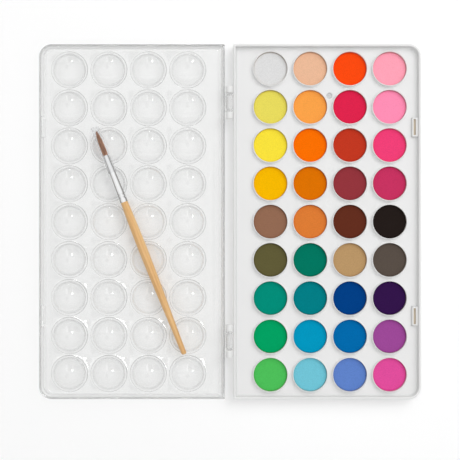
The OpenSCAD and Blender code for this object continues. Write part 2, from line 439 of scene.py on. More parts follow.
def cup_material():
    """White cup whose marked inside darkens towards the paint to a tan painted shade, standing in for the
    warm shade in the gap above the paint.
    """
    mat, tree, shader = material("cup_white")
    white = (0.86, 0.86, 0.857)
    # Painted warm shade: tan that stands in for the shade low on the inside wall next to the paint.
    painted_shade = linear_colour((0.86, 0.78, 0.68))
    z = split_coordinates(tree, "Object")["Z"]
    height = map_range(tree, z, CAKE_TOP - 0.2 * MM, CAKE_TOP + 1.3 * MM, 0, 1)
    painted_wall_shade = ramp(tree, height, [(0.0, painted_shade), (0.9, white)])
    grain = noise_texture(tree, object_coordinates(tree), scale=2600, detail=2)
    feed(tree, shader, {
        "Base Color": mixed(tree, marked(tree), (*white, 1), painted_wall_shade),
        "Roughness": spread(tree, grain, 0.34, 0.42),
    })
    bump(tree, shader, grain, 0.01 * MM, strength=0.4)
    return mat


def cake_name(node):
    return node.replace("paint_", "cake_", 1)


def paint_material(node):
    """Dry pressed watercolor: matt, finely grained, faintly mottled."""
    mat, tree, shader = material(cake_name(node))
    colour = linear_colour(SLOT_COLOURS[node])
    vector = object_coordinates(tree)
    speck = noise_texture(tree, vector, scale=1500, detail=3, roughness=0.6)
    cloud = noise_texture(tree, vector, scale=160, detail=3, roughness=0.5)
    pits = noise_texture(tree, vector, scale=5200, detail=2, roughness=0.6)
    fine = ramp(tree, speck, [(0.3, shade(colour, 0.92)), (0.5, colour), (0.72, shade(colour, 1.07))])
    broad = ramp(tree, cloud, [(0.3, (0.985, 0.985, 0.985)), (0.7, (1.0, 1.0, 1.0))])
    feed(tree, shader, {
        "Base Color": multiplied(tree, fine, broad),
        "Roughness": spread(tree, cloud, 0.72, 0.86),
        "Specular IOR Level": 0.04,
    })
    rough = bump(tree, shader, speck, 0.05 * MM, strength=0.7)
    bump(tree, shader, pits, 0.02 * MM, strength=0.5, previous=rough)
    return mat


def slope_from_level(tree):
    """0 where the surface lies level in the object's own frame, 1 where it stands upright."""
    level = node_math(tree, "ABSOLUTE", split_coordinates(tree, "Normal")["Z"])
    return map_range(tree, level, 1, 0, 0, 1)


def clear_material(name, tint, ior, shadow_tint, roughness, milkiness, edge):
    """Clear moulded plastic that lets lamps through; roughness and milkiness each go from their
    first value where it is level to their second where it is steep, and edge is painted shade:
    it darkens the tint on gentle slopes."""
    mat, tree, shader = material(name)
    slope = slope_from_level(tree)
    clearness = (1 - milkiness[0], 1 - milkiness[1])
    # Painted shade: the tint darkens on gentle slopes, most on the wells' rings, and is full on the level
    # panel and on steep walls.
    tints = [(0.0, 1.0), (0.03, 0.5 + 0.5 * edge), (0.2, edge), (0.6, edge), (0.9, 1.0)]
    feed(tree, shader, {
        "Base Color": ramp(tree, slope, [(at, shade(tint, share)) for at, share in tints]),
        "Transmission Weight": map_range(tree, slope, 0.02, 1, *clearness),
        "Roughness": map_range(tree, slope, 0.1, 0.7, *roughness),
        "IOR": ior,
    })
    waves = noise_texture(tree, object_coordinates(tree), scale=40, detail=1)
    bump(tree, shader, waves, 0.015 * MM, strength=0.08)
    path = add(tree, "ShaderNodeLightPath").outputs
    either = node_math(tree, "MAXIMUM", path["Is Shadow Ray"], path["Is Diffuse Ray"])
    through = add(tree, "ShaderNodeBsdfTransparent", {"Color": (*shadow_tint, 1)}).outputs["BSDF"]
    mix = add(tree, "ShaderNodeMixShader", {"Fac": either, 1: shader.outputs["BSDF"], 2: through})
    tree.links.new(mix.outputs["Shader"], tree.nodes["Material Output"].inputs["Surface"])
    return mat


def brush_coordinates(tree, scale):
    """Object coordinates turned so that Z runs along the brush, then scaled."""
    turn = BRUSH_AXIS.to_track_quat("Z", "Y").inverted().to_euler()
    vector = object_coordinates(tree, turn)
    return add(tree, "ShaderNodeMapping", {"Vector": vector, "Scale": scale}).outputs["Vector"]


def metal_material():
    """Drawn metal ferrule: polished, with painted shade down its sides that stands in for the dark room it
    reflects there, and fine lengthwise lines.
    """
    mat, tree, shader = material("ferrule_metal")
    lines = noise_texture(tree, brush_coordinates(tree, (9000, 9000, 90)), 1.0, detail=2)
    # Painted shade and highlight: white on top and dark down the sides by slope, in place of reflections.
    side_tints = [(0.16, (1, 1, 1)), (0.36, (0.3, 0.29, 0.28)), (1.0, (0.2, 0.19, 0.18))]
    painted_side_shade = ramp(tree, slope_from_level(tree), side_tints)
    drawn = ramp(tree, lines, [(0.3, (0.95, 0.95, 0.955)), (0.7, (1.0, 1.0, 1.0))])
    feed(tree, shader, {
        "Base Color": multiplied(tree, painted_side_shade, drawn),
        "Metallic": 0.3,
        "Roughness": spread(tree, lines, 0.1, 0.18),
    })
    bump(tree, shader, lines, 0.008 * MM, strength=0.5)
    return mat


def wood_material():
    """Pale wood under clear lacquer, with lengthwise grain and pores."""
    mat, tree, shader = material("lacquered_wood")
    grain = noise_texture(tree, brush_coordinates(tree, (900, 900, 22)), 1.0, detail=4, roughness=0.6)
    pores = noise_texture(tree, brush_coordinates(tree, (5200, 5200, 260)), 1.0, detail=2, roughness=0.5)
    browns = ((0.80, 0.58, 0.34), (0.90, 0.71, 0.46), (0.95, 0.79, 0.56))
    dark, fair, pale = [linear_colour(c) for c in browns]
    bands = ramp(tree, grain, [(0.25, dark), (0.5, fair), (0.75, pale)])
    dots = ramp(tree, pores, [(0.3, (0.82, 0.76, 0.7)), (0.45, (1, 1, 1))])
    feed(tree, shader, {
        "Base Color": multiplied(tree, bands, dots),
        "Roughness": spread(tree, grain, 0.38, 0.5),
        "Coat Weight": 0.8,
        "Coat Roughness": 0.12,
    })
    bump(tree, shader, pores, 0.012 * MM, strength=0.5)
    return mat


def hair_material():
    """Brown hair with darker and lighter strands."""
    mat, tree, shader = material("brown_hair")
    streak = noise_texture(tree, brush_coordinates(tree, (6000, 6000, 120)), 1.0, detail=2)
    browns = ((0.42, 0.26, 0.17), (0.69, 0.48, 0.35), (0.94, 0.76, 0.62))
    dark, fair, pale = [linear_colour(c) for c in browns]
    feed(tree, shader, {
        "Base Color": ramp(tree, streak, [(0.32, dark), (0.5, fair), (0.68, pale)]),
        "Roughness": spread(tree, streak, 0.4, 0.55),
    })
    return mat


# ---------------------------------------------------------------- base of the case
def base_profile():
    """Section of the wall as (inset, height): underside, outer wall, rim, inner wall, floor."""
    foot_r = 2.2 * MM
    rim_out_r = 0.8 * MM
    rim_in_r = 0.45 * MM
    rim_w = 1.6 * MM
    inner_wall = rim_w + 0.15 * MM
    floor_z = 1.4 * MM
    flat_w = 1.5 * MM
    profile = [(foot_r + flat_w, 0), (foot_r + 0.3 * MM, 0)]
    profile += [(foot_r - r, z) for r, z in arc_points(0, foot_r, foot_r, -90, 0, 7)]
    profile += [(0, foot_r + 0.5 * MM), (0, BASE_TOP - rim_out_r - 0.4 * MM)]
    profile += [(rim_out_r - r, z) for r, z in arc_points(0, BASE_TOP - rim_out_r, rim_out_r, 0, 90, 5)]
    profile += arc_points(rim_w - rim_in_r, BASE_TOP - rim_in_r, rim_in_r, 90, 0, 4)
    profile += [(rim_w + 0.14 * MM, TRAY_Z + 1.5 * MM), (inner_wall, floor_z + 0.6 * MM)]
    profile += [(inner_wall, floor_z), (rim_w + flat_w, floor_z)]
    return profile


def latch_surround(bm, side):
    """Collar on the front wall with the slot for a snap tongue, rounded on top."""
    half_x = 2.4 * MM
    collar_x = COLLAR_NEAR_X + half_x
    corner = 0.9 * MM
    soft = 0.5 * MM
    low_z = 1.0 * MM
    top = BASE_TOP - 2.0 * MM
    slot_corner = 0.2 * MM
    slot_soft = 0.15 * MM

    def ring(x, reach_x, reach_y, r, z):
        y = side * LATCH_Y
        return rounded_rectangle(x - reach_x, y - reach_y, x + reach_x, y + reach_y, r, z, 4)

    outer = []
    for r, z in arc_points(0, top - soft, soft, 90, 0, 4):
        grow = r - soft
        outer.append(ring(collar_x, half_x + grow, COLLAR_HALF_Y + grow, corner, z))
    outer.append(ring(collar_x, half_x, COLLAR_HALF_Y, corner, low_z))
    inner = []
    for r, z in arc_points(0, top - slot_soft, slot_soft, 90, 180, 3):
        grow = r + slot_soft
        inner.append(ring(SLOT_X, SLOT_HALF_X + grow, SLOT_HALF_Y + grow, slot_corner + grow, z))
    inner.append(ring(SLOT_X, SLOT_HALF_X, SLOT_HALF_Y, slot_corner, SLOT_FLOOR_Z))
    outer_top, outer_low = loft(bm, outer)
    inner_top, inner_low = loft(bm, inner)
    fill_flat(bm, outer_top, [inner_top])
    fill_flat(bm, inner_low)
    fill_flat(bm, outer_low)


def along_hinge(side, end=1):
    """Lays a turned part along the hinge at one side of the case, towards one of its ends."""
    return lambda p: Vector((HINGE.x + p.x, side * HINGE_Y + end * p.z, HINGE.z + p.y))


def hinge_knuckles(bm, side):
    """Two white knuckles with blind bores at one hinge, each with a web to the base's wall."""
    length = 4.7 * MM
    start = 6.4 * MM
    stop = start + length
    bore_r = 1.26 * MM
    bore_end = 10.1 * MM
    lead = 0.12 * MM
    shoulder_r = BARREL_R - BARREL_SOFT
    web_gap = 0.02 * MM
    profile = [(0, bore_end), (bore_r, bore_end), (bore_r, start + lead), (bore_r + lead, start)]
    profile += arc_points(shoulder_r, start + BARREL_SOFT, BARREL_SOFT, -90, 0, 3)
    profile += arc_points(shoulder_r, stop - BARREL_SOFT, BARREL_SOFT, 0, 90, 3)
    profile += [(0, stop)]
    for end in (-1, 1):
        revolve(bm, profile, 40, along_hinge(side, end))
        low_y = side * HINGE_Y + (start if end > 0 else -stop)
        rounded_box(
            bm,
            Vector((HINGE.x + bore_r + 0.25 * MM, low_y + web_gap, HINGE.z - BARREL_R)),
            Vector((BASE_NEAR_X + 0.8 * MM, low_y + length - web_gap, HINGE.z - 0.3 * MM)),
            0.25 * MM,
        )


def base_mesh(bm):
    bottom, top = case_loft(bm, BASE_NEAR_X, base_profile(), False)
    fill_flat(bm, bottom)
    fill_flat(bm, top)
    for side in (-1, 1):
        latch_surround(bm, side)
        hinge_knuckles(bm, side)


# Marks the raised slot floor, which the case's material paints tan as painted shade.
def on_slot_floor(point):
    margin = 0.1 * MM
    in_x = abs(point.x - SLOT_X) < SLOT_HALF_X + margin
    in_y = abs(abs(point.y) - LATCH_Y) < SLOT_HALF_Y + margin
    return in_x and in_y and abs(point.z - SLOT_FLOOR_Z) < margin


def make_base(white):
    obj = new_object("case_base", base_mesh, white)
    mark_points(obj, on_slot_floor)
    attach(obj, "base")
    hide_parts("base_shell")


# ---------------------------------------------------------------- tray, cups and paints
# Round moulding marks in the tray as x, y, radius and depth in millimetres; the first is a deep hole.
TRAY_MARKS = ((67.5, 85.6, 2.1, 0.8), (67.5, 36.8, 2.5, 0.12), (67.5, 12.7, 2.5, 0.12))


def tray_mesh(bm):
    """The tray: upturned lip along the walls, flat field with a hole for each cup."""
    hole_r = 11.65 * MM
    hole_soft = 0.3 * MM
    low_z = TRAY_Z - 1.2 * MM
    lip_z = TRAY_Z + 1.1 * MM
    play = 0.04 * MM
    cove_r = 0.9 * MM
    cove_x = play + 0.3 * MM + cove_r
    profile = [(play, lip_z - 0.1 * MM), (play + 0.1 * MM, lip_z), (play + 0.2 * MM, lip_z - 0.05 * MM)]
    profile += arc_points(cove_x, TRAY_Z + cove_r, cove_r, 180, 270, 6)
    profile += [(cove_x + 0.2 * MM, TRAY_Z)]
    rings = [case_ring(BASE_NEAR_X, TRAY_INSET + inset, z, False) for inset, z in profile]
    top_edge, field = loft(bm, rings)
    holes_top, holes_low = [], []
    for centre in PAN_CENTRES:
        levels = ((TRAY_Z, hole_r + hole_soft), (TRAY_Z, hole_r), (low_z, hole_r))
        wide, low = loft(bm, [circle(centre.x, centre.y, z, r, 72) for z, r in levels])
        holes_top.append(wide)
        holes_low.append(low)
    for mark in TRAY_MARKS:
        holes_top.append(tray_mark(bm, *(v * MM for v in mark)))
    fill_flat(bm, field, holes_top)
    low_edge = add_ring(bm, [Vector((p.co.x, p.co.y, low_z)) for p in top_edge])
    bridge(bm, top_edge, low_edge)
    fill_flat(bm, low_edge, holes_low)


def tray_mark(bm, x, y, r, depth):
    """A shallow round moulding mark with soft edges; returns its rim ring."""
    shares = ((1.05, 0.0), (1.0, 0.12), (0.93, 0.5), (0.85, 0.9), (0.76, 1.0), (0.35, 1.0), (0.2, 0.75))
    sizes = [(r + 0.25 * MM, 0.0)] + [(r * share, depth * drop) for share, drop in shares]
    rim, centre = loft(bm, [circle(x, y, TRAY_Z - drop, radius, 40) for radius, drop in sizes])
    bm.faces.new(centre)
    return rim


def latch_notch(bm, side):
    """The block that leaves room in the tray for a latch collar."""
    gap = 0.06 * MM
    half_y = COLLAR_HALF_Y + gap
    low = Vector((COLLAR_NEAR_X - gap, side * LATCH_Y - half_y, 0))
    high = Vector((CASE_FAR_X + 1 * MM, side * LATCH_Y + half_y, BASE_TOP))
    place = Matrix.Translation((low + high) / 2) @ Matrix.Diagonal((*(high - low), 1))
    bmesh.ops.create_cube(bm, size=1.0, matrix=place)


# Marks the floor of the deep moulding mark, which the tray's material paints grey as painted shade.
def in_deep_mark(point):
    x, y, r, depth = (v * MM for v in TRAY_MARKS[0])
    below = TRAY_Z - point.z
    return math.hypot(point.x - x, point.y - y) < 1.01 * r and 0.3 * depth < below < depth + 0.01 * MM


def make_tray(white):
    obj = new_object("case_tray", tray_mesh, white)
    for side in (-1, 1):
        boolean(obj, "DIFFERENCE", latch_notch, side)
    smooth_by_angle(obj, 32)
    mark_points(obj, in_deep_mark)
    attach(obj, "base")
    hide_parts("pan_tray")


def cup_profile():
    """Section of a cup, from the middle of its underside round to the middle of its inside."""
    foot = 0.4 * MM
    foot_r = CUP_R + foot
    lip = 0.3 * MM
    lip_mid_r = (CUP_R + CUP_HOLLOW_R) / 2
    half = (CUP_R - CUP_HOLLOW_R) / 2
    low_z = CUP_LOW.z
    inside_z = low_z + 0.9 * MM
    tray_z = TRAY_Z + 0.01 * MM
    soft = 0.5 * MM
    inner_soft = 0.3 * MM
    profile = [(0, low_z), (CUP_BODY_R - soft, low_z), (CUP_BODY_R, low_z + soft), (CUP_BODY_R, tray_z)]
    profile += [(foot_r + 0.15 * MM, tray_z)]
    profile += arc_points(foot_r, TRAY_Z + foot + 0.02 * MM, foot, 270, 180, 4)
    profile += [(CUP_R, CUP_TOP - 2 * lip)]
    profile += arc_points(lip_mid_r, CUP_TOP - lip, half, 0, 180, 6, rise=lip)
    profile += [(CUP_HOLLOW_R, CUP_TOP - 2 * lip), (CUP_HOLLOW_R, inside_z + inner_soft)]
    profile += [(CUP_HOLLOW_R - inner_soft, inside_z), (0, inside_z)]
    return profile


def cups_mesh(bm, centres):
    for centre in centres:
        revolve(bm, cup_profile(), 80, lambda p: p + Vector((centre.x, centre.y, 0)))


def make_cups(white):
    inside_r = (CUP_HOLLOW_R + CUP_R) / 2 - 0.1 * MM
    for row in range(ROWS):
        centres = PAN_CENTRES[row * COLUMNS:(row + 1) * COLUMNS]
        obj = new_object(f"cups_row_{row + 1}", cups_mesh, white, centres)
        # Marks the inside of each cup, where the cup's material paints shade towards the paint.
        mark_points(obj, lambda p: min(math.hypot(p.x - c.x, p.y - c.y) for c in centres) < inside_r)
        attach(obj, "base")
        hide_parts(f"pan_cups_row_{row + 1}")


def cake_mesh(bm, centre, seed):
    """A pressed cake: slightly dished top with soft unevenness, a rounded rim and a few chips."""
    rng = random.Random(seed)
    cx = centre.x
    cy = centre.y
    radius = CUP_HOLLOW_R - 0.1 * MM
    segments = 96
    ring_count = 26
    rim_share = 0.955
    offset = Vector((rng.uniform(0, 50), rng.uniform(0, 50), rng.uniform(0, 50)))
    dish = rng.uniform(0.02, 0.10) * MM
    chips = []
    for _ in range(rng.choice((0, 1, 1, 2, 3))):
        angle = rng.uniform(0, 2 * math.pi)
        reach = rng.uniform(0.55, 0.95)
        size = rng.uniform(0.5, 1.3) * MM
        depth = rng.uniform(0.03, 0.09) * MM
        chip_x = cx + reach * radius * math.cos(angle)
        chip_y = cy + reach * radius * math.sin(angle)
        chips.append((chip_x, chip_y, size, depth))

    def height(x, y, share):
        p = Vector((x, y, 0)) / MM
        z = -dish * (1 - share * share)
        for depth, scale in ((0.035, 0.22), (0.02, 0.9), (0.008, 3.1)):
            z += depth * MM * noise.noise(p * scale + offset)
        if share > rim_share:
            z -= 0.22 * MM * ((share - rim_share) / (1 - rim_share)) ** 2
        for chip_x, chip_y, size, depth in chips:
            gap = math.hypot(x - chip_x, y - chip_y)
            if gap < size:
                z -= depth * (1 - (gap / size) ** 2) * (0.6 + 0.4 * noise.noise(p * 2.3 + offset))
        return CAKE_TOP + z - 0.02 * MM

    def ring(k):
        share = (k / ring_count) ** 0.85
        points = []
        for i in range(segments):
            a = 2 * math.pi * i / segments
            r = radius * share
            if k == ring_count:
                r *= 1 + 0.004 * noise.noise(Vector((math.cos(a) * 2, math.sin(a) * 2, seed)))
            x = cx + r * math.cos(a)
            y = cy + r * math.sin(a)
            points.append(Vector((x, y, height(x, y, share))))
        return points

    tip = bm.verts.new((cx, cy, height(cx, cy, 0)))
    rings = [ring(k) for k in range(1, ring_count + 1)]
    rings.append([Vector((p.x, p.y, PAINT_LOW.z)) for p in rings[-1]])
    first, under = loft(bm, rings)
    fan(bm, tip, first)
    bm.faces.new(under[::-1])


def make_paints():
    for index, node in enumerate(PAINT_NODES):
        look = paint_material(node)
        obj = new_object(cake_name(node), cake_mesh, look, PAN_CENTRES[index], 100 + index, sharp_deg=60)
        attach(obj, "base")
        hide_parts(node)


# ---------------------------------------------------------------- lid
def well_profile(underside):
    """Section of a well from the panel inwards, on the panel's top or on its underside."""
    depths = (0, 0.03, 0.3, 0.38, 0.48, 0.57, 0.75, 1.38)
    if underside:
        radii = (12.78, 12.66, 12.4, 12.2, 11.5, 11.3, 11.08, 10.45)
        dish_r, drop = 10.15 * MM, WELL_WALL
    else:
        radii = (12.5, 12.4, 12.14, 11.96, 11.16, 10.95, 10.75, 10.12)
        dish_r, drop = 9.8 * MM, 0.0
    edge_depth = 1.6 * MM
    dish_depth = 3.3 * MM
    depth = dish_depth - edge_depth
    ball_r = (dish_r**2 + depth**2) / (2 * depth)
    points = [(r * MM, z * MM) for r, z in zip(radii, depths)]
    steps = 10
    for k in range(steps + 1):
        r = dish_r * (1 - k / steps)
        points.append((r, dish_depth - (ball_r - math.sqrt(ball_r**2 - r**2))))
    return [(r, PANEL_Z - drop - d) for r, d in points]


def add_wells(bm, underside):
    """All the wells' surfaces on one side of the panel; returns their rim rings."""
    profile = well_profile(underside)
    rims = []
    for row in range(ROWS):
        for column in range(COLUMNS):
            cx = -(WELL_FIRST_X + column * PAN_STEP_X)
            cy = ((ROWS - 1) / 2 - row) * PAN_STEP_Y
            rim, last = loft(bm, [circle(cx, cy, z, r, WELL_SEGMENTS) for r, z in profile[:-1]])
            fan(bm, bm.verts.new((cx, cy, profile[-1][1])), last)
            rims.append(rim)
    return rims


def lid_profile():
    """Section of the lid's rim from the panel's top over the rim to its underside."""
    wall = 1.5 * MM
    foot = wall + 0.3 * MM
    cove_r = 1.6 * MM
    cove_h = 2.6 * MM
    near_cove = 5.0 * MM
    far_cove = 3.6 * MM
    flat_w = 0.3 * MM
    rim_r = 0.4 * MM
    rim_z = LID_TOP - rim_r
    outer_r = 2.4 * MM
    under_z = PANEL_Z - WELL_WALL
    profile = [(foot + cove_r + flat_w / 2, PANEL_Z, foot + near_cove + flat_w, foot + far_cove + flat_w)]
    for x, z in arc_points(1, PANEL_Z + cove_h, 1, 270, 180, 8, rise=cove_h):
        profile.append((foot + cove_r * x, z, foot + near_cove * x, foot + far_cove * x))
    profile += [(wall + 0.05 * MM, rim_z - 0.1 * MM)]
    profile += arc_points(wall - rim_r, rim_z, rim_r, 0, 90, 4)
    profile += [(rim_r - r, z) for r, z in arc_points(0, rim_z, rim_r, 90, 0, 4)]
    profile += [(0, LID_TOP - 1.0 * MM), (0, under_z + outer_r + 0.2 * MM)]
    profile += [(outer_r - r, z) for r, z in arc_points(0, under_z + outer_r, outer_r, 0, -90, 8)]
    profile += [(outer_r + flat_w, under_z)]
    return profile


def lid_body(bm):
    inner, under = case_loft(bm, LID_NEAR_X, lid_profile(), True)
    fill_flat(bm, inner, add_wells(bm, False))
    fill_flat(bm, under, add_wells(bm, True))


def tongue_root(bm, side):
    """Thick root of a snap tongue on the lid's front wall, with sloping ends."""
    y = side * LATCH_Y
    inner_x = TONGUE_X + 0.6 * MM
    wall_x = -CASE_FAR_X + 1.4 * MM
    top = LID_TOP - 0.06 * MM
    low = PANEL_Z + 0.4 * MM
    half = 7.8 * MM
    slope = 1.8 * MM
    rings = []
    for z, shrink in ((low, 0.0), (top - 0.3 * MM, 0.0), (top - 0.08 * MM, 0.08 * MM), (top, 0.3 * MM)):
        rings.append([
            Vector((wall_x, y - half + shrink, z)),
            Vector((inner_x - shrink, y - half + slope + shrink, z)),
            Vector((inner_x - shrink, y + half - slope - shrink, z)),
            Vector((wall_x, y + half - shrink, z)),
        ])
    first, last = loft(bm, rings)
    bm.faces.new(first)
    bm.faces.new(last)


def tongue_tip(bm, side):
    y = side * LATCH_Y
    half_x = 0.55 * MM
    half_y = 5.0 * MM
    low = Vector((TONGUE_X - half_x, y - half_y, LID_TOP - 1.5 * MM))
    high = Vector((TONGUE_X + half_x, y + half_y, LID_HIGH.z))
    rounded_box(bm, low, high, 0.25 * MM)


def lid_barrel(bm, side):
    """The lid's middle barrel with two grooves and a pin stub at each end."""
    half = 6.1 * MM
    shoulder_r = BARREL_R - BARREL_SOFT
    pin_r = 1.2 * MM
    pin_tip_r = pin_r - 0.2 * MM
    pin_end = half + 3.5 * MM
    pin_soft = pin_end - 0.2 * MM
    groove_r = BARREL_R - 0.4 * MM
    groove = [(BARREL_R, 0.5 * MM), (groove_r, 0.75 * MM), (groove_r, 1.25 * MM), (BARREL_R, 1.5 * MM)]
    near_half = [(0, pin_end), (pin_tip_r, pin_end), (pin_r, pin_soft), (pin_r, half)]
    near_half += [(shoulder_r, half), (BARREL_R, half - BARREL_SOFT)]
    near_half += [(r, half - s) for r, s in groove]
    profile = [(r, -s) for r, s in near_half] + near_half[::-1]
    revolve(bm, profile, 48, along_hinge(side))


def lid_web(bm, side):
    """The web that joins the barrel to the lid's wall."""
    y = side * HINGE_Y
    half = 6.08 * MM
    low = Vector((-LID_NEAR_X - 0.7 * MM, y - half, HINGE.z - 2.35 * MM))
    high = Vector((HINGE.x - 0.3 * MM, y + half, LID_TOP - 0.02 * MM))
    rounded_box(bm, low, high, 0.15 * MM)


def make_lid(clear):
    obj = new_object("case_lid", lid_body, clear)
    for side in (-1, 1):
        for part in (tongue_root, tongue_tip, lid_barrel, lid_web):
            boolean(obj, "UNION", part, side)
    smooth_by_angle(obj, 32)
    obj.data.materials.clear()
    obj.data.materials.append(clear)
    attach(obj, "lid")
    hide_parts("lid_shell")


# ---------------------------------------------------------------- brush
HAIR_LOW, HAIR_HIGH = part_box("brush_hair")
BRUSH_TIP = Vector((HAIR_LOW.x, HAIR_HIGH.y, (HAIR_LOW.z + HAIR_HIGH.z) / 2))
BRUSH_SIDE = BRUSH_AXIS.cross(Vector((0, 0, 1))).normalized()
BRUSH_UP = BRUSH_SIDE.cross(BRUSH_AXIS).normalized()
HAIR_L = 17.5 * MM
FERRULE_L = 34.0 * MM
BRUSH_L = 162.6 * MM
FERRULE_FRONT_R = 1.75 * MM
FERRULE_BACK_R = 2.5 * MM
HANDLE_R = 3.1 * MM
HANDLE_END_R = 1.8 * MM


def on_brush(p):
    """A point given across and along the brush, measured from its tip, in the row frame."""
    return BRUSH_TIP + BRUSH_SIDE * p.x + BRUSH_UP * p.y + BRUSH_AXIS * p.z


def hair_radius(s):
    """Radius of the hair bundle at distance s from its tip."""
    t = min(max((s + 0.4 * MM) / (HAIR_L - 6 * MM), 0), 1)
    return (FERRULE_FRONT_R - 0.02 * MM) * math.sin(math.radians(90 * t)) ** 0.54


def hair_mesh(bm):
    """A solid core that ends inside the ferrule, with single strands laid over it."""
    socket_r = FERRULE_FRONT_R - 0.34 * MM
    socket_end = HAIR_L + 4 * MM
    core = [(0, 0)]
    core += [(0.88 * hair_radius(k * MM), k * MM) for k in range(1, 17)]
    core += [(socket_r, HAIR_L + 0.2 * MM), (socket_r, socket_end), (0, socket_end)]
    revolve(bm, core, 32, on_brush)
    rng = random.Random(7)
    for _ in range(620):
        strand(bm, rng)


def strand(bm, rng):
    """One tapering hair that follows the bundle from the ferrule to near the tip."""
    angle = rng.uniform(0, 2 * math.pi)
    layer = rng.uniform(0.86, 0.985)
    end = rng.uniform(-0.4, 1.2) * MM if rng.random() < 0.75 else rng.uniform(1.2, 8.0) * MM
    twist = rng.uniform(-0.25, 0.25)
    thick = rng.uniform(0.035, 0.06) * MM
    start = HAIR_L + 0.3 * MM
    thirds = (0, 2.094, 4.189)
    steps = 9
    rings = []
    for k in range(steps + 1):
        s = start + (end - start) * k / steps
        limit = FERRULE_FRONT_R - 0.32 * MM if s > HAIR_L - 0.3 * MM else FERRULE_FRONT_R
        reach = min(hair_radius(s), limit) * layer
        a = angle + twist * k / steps
        centre = Vector((reach * math.cos(a), reach * math.sin(a), s))
        r = thick * (1 - 0.85 * (k / steps) ** 2)
        out = Vector((math.cos(a), math.sin(a), 0))
        across = Vector((-math.sin(a), math.cos(a), 0))
        rings.append([on_brush(centre + out * r * math.cos(t) + across * r * math.sin(t)) for t in thirds])
    first, last = loft(bm, rings)
    bm.faces.new(first[::-1])
    bm.faces.new(last)


def ferrule_mesh(bm):
    """Tapered metal tube with a rolled front edge and two crimped rings at the handle."""
    wall = 0.3 * MM
    start = HAIR_L
    end = HAIR_L + FERRULE_L
    crimp_half = 0.75 * MM
    crimp_depth = 0.32 * MM
    bore_front_r = FERRULE_FRONT_R - wall
    bore_back_r = FERRULE_BACK_R - wall - 0.2 * MM

    def outer_r(s):
        r = FERRULE_FRONT_R + (FERRULE_BACK_R - FERRULE_FRONT_R) * (s - start) / FERRULE_L
        for centre in (end - 3.2 * MM, end - 5.6 * MM):
            gap = abs(s - centre) / crimp_half
            if gap < 1:
                r -= crimp_depth * (1 + math.cos(math.pi * gap)) / 2
        return r

    profile = [(bore_front_r + 0.05 * MM, start + 0.02 * MM), (FERRULE_FRONT_R - 0.06 * MM, start)]
    profile += [(outer_r(start + 0.15 * MM), start + 0.15 * MM)]
    plain = (start + 1.5 * MM, end - 8 * MM, 2 * MM)
    crimped = (end - 7.2 * MM, end - 0.3 * MM, 0.15 * MM)
    for s, stop, step in (plain, crimped):
        while s < stop:
            profile.append((outer_r(s), s))
            s += step
    profile += [(outer_r(end) - 0.02 * MM, end - 0.12 * MM), (outer_r(end) - 0.1 * MM, end)]
    profile += [(bore_back_r, end), (bore_back_r, end - 9 * MM)]
    profile += [(bore_front_r, start + 6 * MM), (bore_front_r, start + 0.05 * MM)]
    profile += [profile[0]]
    revolve(bm, profile, 56, on_brush)


def handle_radius(t):
    """Radius at share t of the handle's length: it swells from the ferrule, then tapers."""
    fullest = 0.3
    if t < fullest:
        return FERRULE_BACK_R + (HANDLE_R - FERRULE_BACK_R) * math.sin(math.radians(90 * t / fullest))
    taper = math.radians(180 * (t - fullest) / 0.78)
    return HANDLE_END_R + (HANDLE_R - HANDLE_END_R) * (1 + math.cos(taper)) / 2


def handle_mesh(bm):
    """The stick, with a thinner end inside the ferrule and a round nose."""
    start = HAIR_L + FERRULE_L
    nose = 1.6 * MM
    length = BRUSH_L - start - nose
    tenon_r = FERRULE_BACK_R - 0.55 * MM
    tenon_start = start - 8 * MM
    lacquer = 0.01 * MM
    lead = 0.1 * MM
    steps = 44
    profile = [(0, tenon_start), (tenon_r, tenon_start), (tenon_r, start)]
    profile += [(handle_radius(0) - 0.08 * MM, start + 0.01 * MM)]
    for k in range(steps + 1):
        s = start + lead + (length - lead) * k / steps
        profile.append((handle_radius(k / steps) - lacquer, s))
    profile += arc_points(0, start + length, handle_radius(1) - lacquer, 15, 75, 4, rise=nose)
    profile += [(0, BRUSH_L)]
    revolve(bm, profile, 56, on_brush)


def sleeve_mesh(bm):
    """Clear tube over the tip, both ends open with softly rounded edges."""
    outer = 2.8 * MM
    bore = 2.35 * MM
    start = -3.0 * MM
    end = 30.0 * MM
    half = (outer - bore) / 2
    mid = (outer + bore) / 2
    along = [start + half, *[start + (end - start) * k / 8 for k in range(1, 8)], end - half]
    profile = [(outer, s) for s in along]
    profile += arc_points(mid, end - half, half, 30, 150, 4)
    profile += [(bore, s) for s in along[::-1]]
    profile += arc_points(mid, start + half, half, 210, 330, 4)
    profile += [profile[0]]
    revolve(bm, profile, 48, on_brush)


def make_brush(clear):
    for name, maker, mat, node, slot, body in (
        ("brush_bristles", hair_mesh, hair_material(), "brush_hair", "hair", "brush"),
        ("brush_collar", ferrule_mesh, metal_material(), "brush_ferrule", "ferrule", "brush"),
        ("brush_stick", handle_mesh, wood_material(), "brush_handle", "varnished_wood", "brush"),
        ("tip_cover", sleeve_mesh, clear, "brush_tip_sleeve", "clear_sleeve", "tip_sleeve"),
    ):
        obj = new_object(name, maker, mat, sharp_deg=38)
        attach(obj, body)
        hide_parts(node)


# ---------------------------------------------------------------- stage, lights and camera
def make_stage():
    """A large white floor just below the case, with a faint glow of its own."""
    half_size = 9.0
    drop = 0.05 * MM
    mesh = bpy.data.meshes.new("floor")
    corners = [(x * half_size, y * half_size, -drop) for x, y in ((-1, -1), (1, -1), (1, 1), (-1, 1))]
    mesh.from_pydata(corners, [], [(0, 1, 2, 3)])
    floor = in_scene(bpy.data.objects.new("floor", mesh))
    mat, tree, shader = material("floor_white")
    feed(tree, shader, {
        "Base Color": (0.8, 0.8, 0.8, 1),
        "Roughness": 0.9,
        "Specular IOR Level": 0.0,
        "Emission Color": (1, 1, 1, 1),
        "Emission Strength": 0.22,
    })
    mat.cycles.emission_sampling = "NONE"
    floor.data.materials.append(mat)


